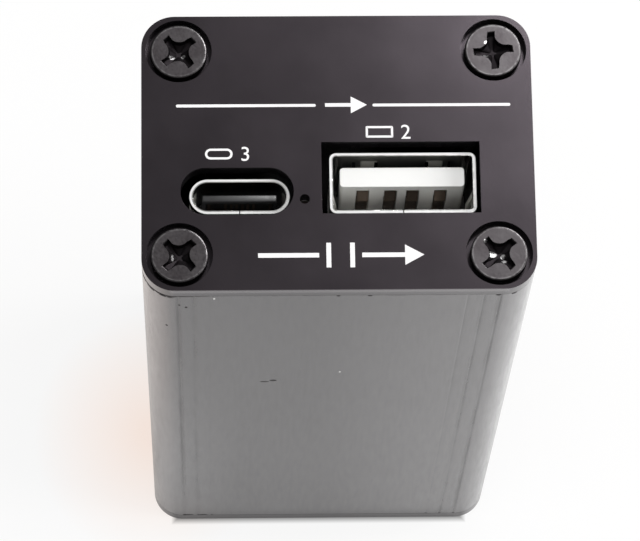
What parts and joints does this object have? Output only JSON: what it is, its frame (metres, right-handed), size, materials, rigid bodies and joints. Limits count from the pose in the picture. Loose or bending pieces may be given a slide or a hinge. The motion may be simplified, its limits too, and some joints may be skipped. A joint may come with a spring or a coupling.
{
  "type": "ground loop isolator",
  "caption": "Small inline USB signal and power isolator in an extruded metal case, with ports through both end plates.",
  "frame": {"origin": "centre of the in plate's outer face, on which the case stands", "axes": "+Z along the case to the out plate, +Y up from the circuit board, +X to the right when looking at the out plate with +Y up"},
  "size_m": [0.035, 0.026, 0.078],
  "materials": {
    "case_aluminium": "black anodised, fine lengthwise grain",
    "plate_black": "black anodised, fine matt",
    "print_white": "screen-printed ink",
    "screw_black": "black oxide",
    "port_steel": "nickel plated",
    "port_white": "moulded, satin",
    "port_black": "moulded, satin",
    "contact_gold": "gold flash",
    "board_green": "solder mask",
    "chip_black": "moulded resin",
    "lead_tin": "tinned",
    "can_aluminium": "bright",
    "ferrite_grey": "pressed ferrite",
    "ceramic_tan": "ceramic",
    "lamp_white": "moulded",
    "lamp_clear": "tinted clear resin"
  },
  "bodies": {
    "root": {"case_tube": "case_aluminium", "out_plate": "plate_black", "in_plate": "plate_black", "out_screw_1": "screw_black", "out_screw_2": "screw_black", "out_screw_3": "screw_black", "out_screw_4": "screw_black", "in_screw_1": "screw_black", "in_screw_2": "screw_black", "in_screw_3": "screw_black", "in_screw_4": "screw_black", "usb_a_shell": "port_steel", "usb_c_out_shell": "port_steel", "usb_c_in_shell": "port_steel", "usb_a_insulator": "port_white", "usb_c_out_insulator": "port_black", "usb_c_in_insulator": "port_black", "usb_a_contact_1": "contact_gold", "usb_a_contact_2": "contact_gold", "usb_a_contact_3": "contact_gold", "usb_a_contact_4": "contact_gold", "usb_c_out_contacts": "contact_gold", "usb_c_in_contacts": "contact_gold", "circuit_board": "board_green", "isolator_chip": "chip_black", "power_module": "chip_black", "regulator_in": "chip_black", "regulator_out": "chip_black", "surge_array_in": "chip_black", "surge_array_out": "chip_black", "can_base_in": "chip_black", "can_base_out": "chip_black", "resistors_in": "chip_black", "resistors_out": "chip_black", "isolator_leads": "lead_tin", "power_module_pins": "lead_tin", "regulator_in_leads": "lead_tin", "regulator_out_leads": "lead_tin", "surge_array_in_leads": "lead_tin", "surge_array_out_leads": "lead_tin", "can_in": "can_aluminium", "can_out": "can_aluminium", "choke_in": "ferrite_grey", "choke_out": "ferrite_grey", "inductor_in": "ferrite_grey", "inductor_out": "ferrite_grey", "ceramic_capacitors_in": "ceramic_tan", "ceramic_capacitors_out": "ceramic_tan", "lamp_body": "lamp_white", "lamp_lens": "lamp_clear"}
  },
  "joints": []
}
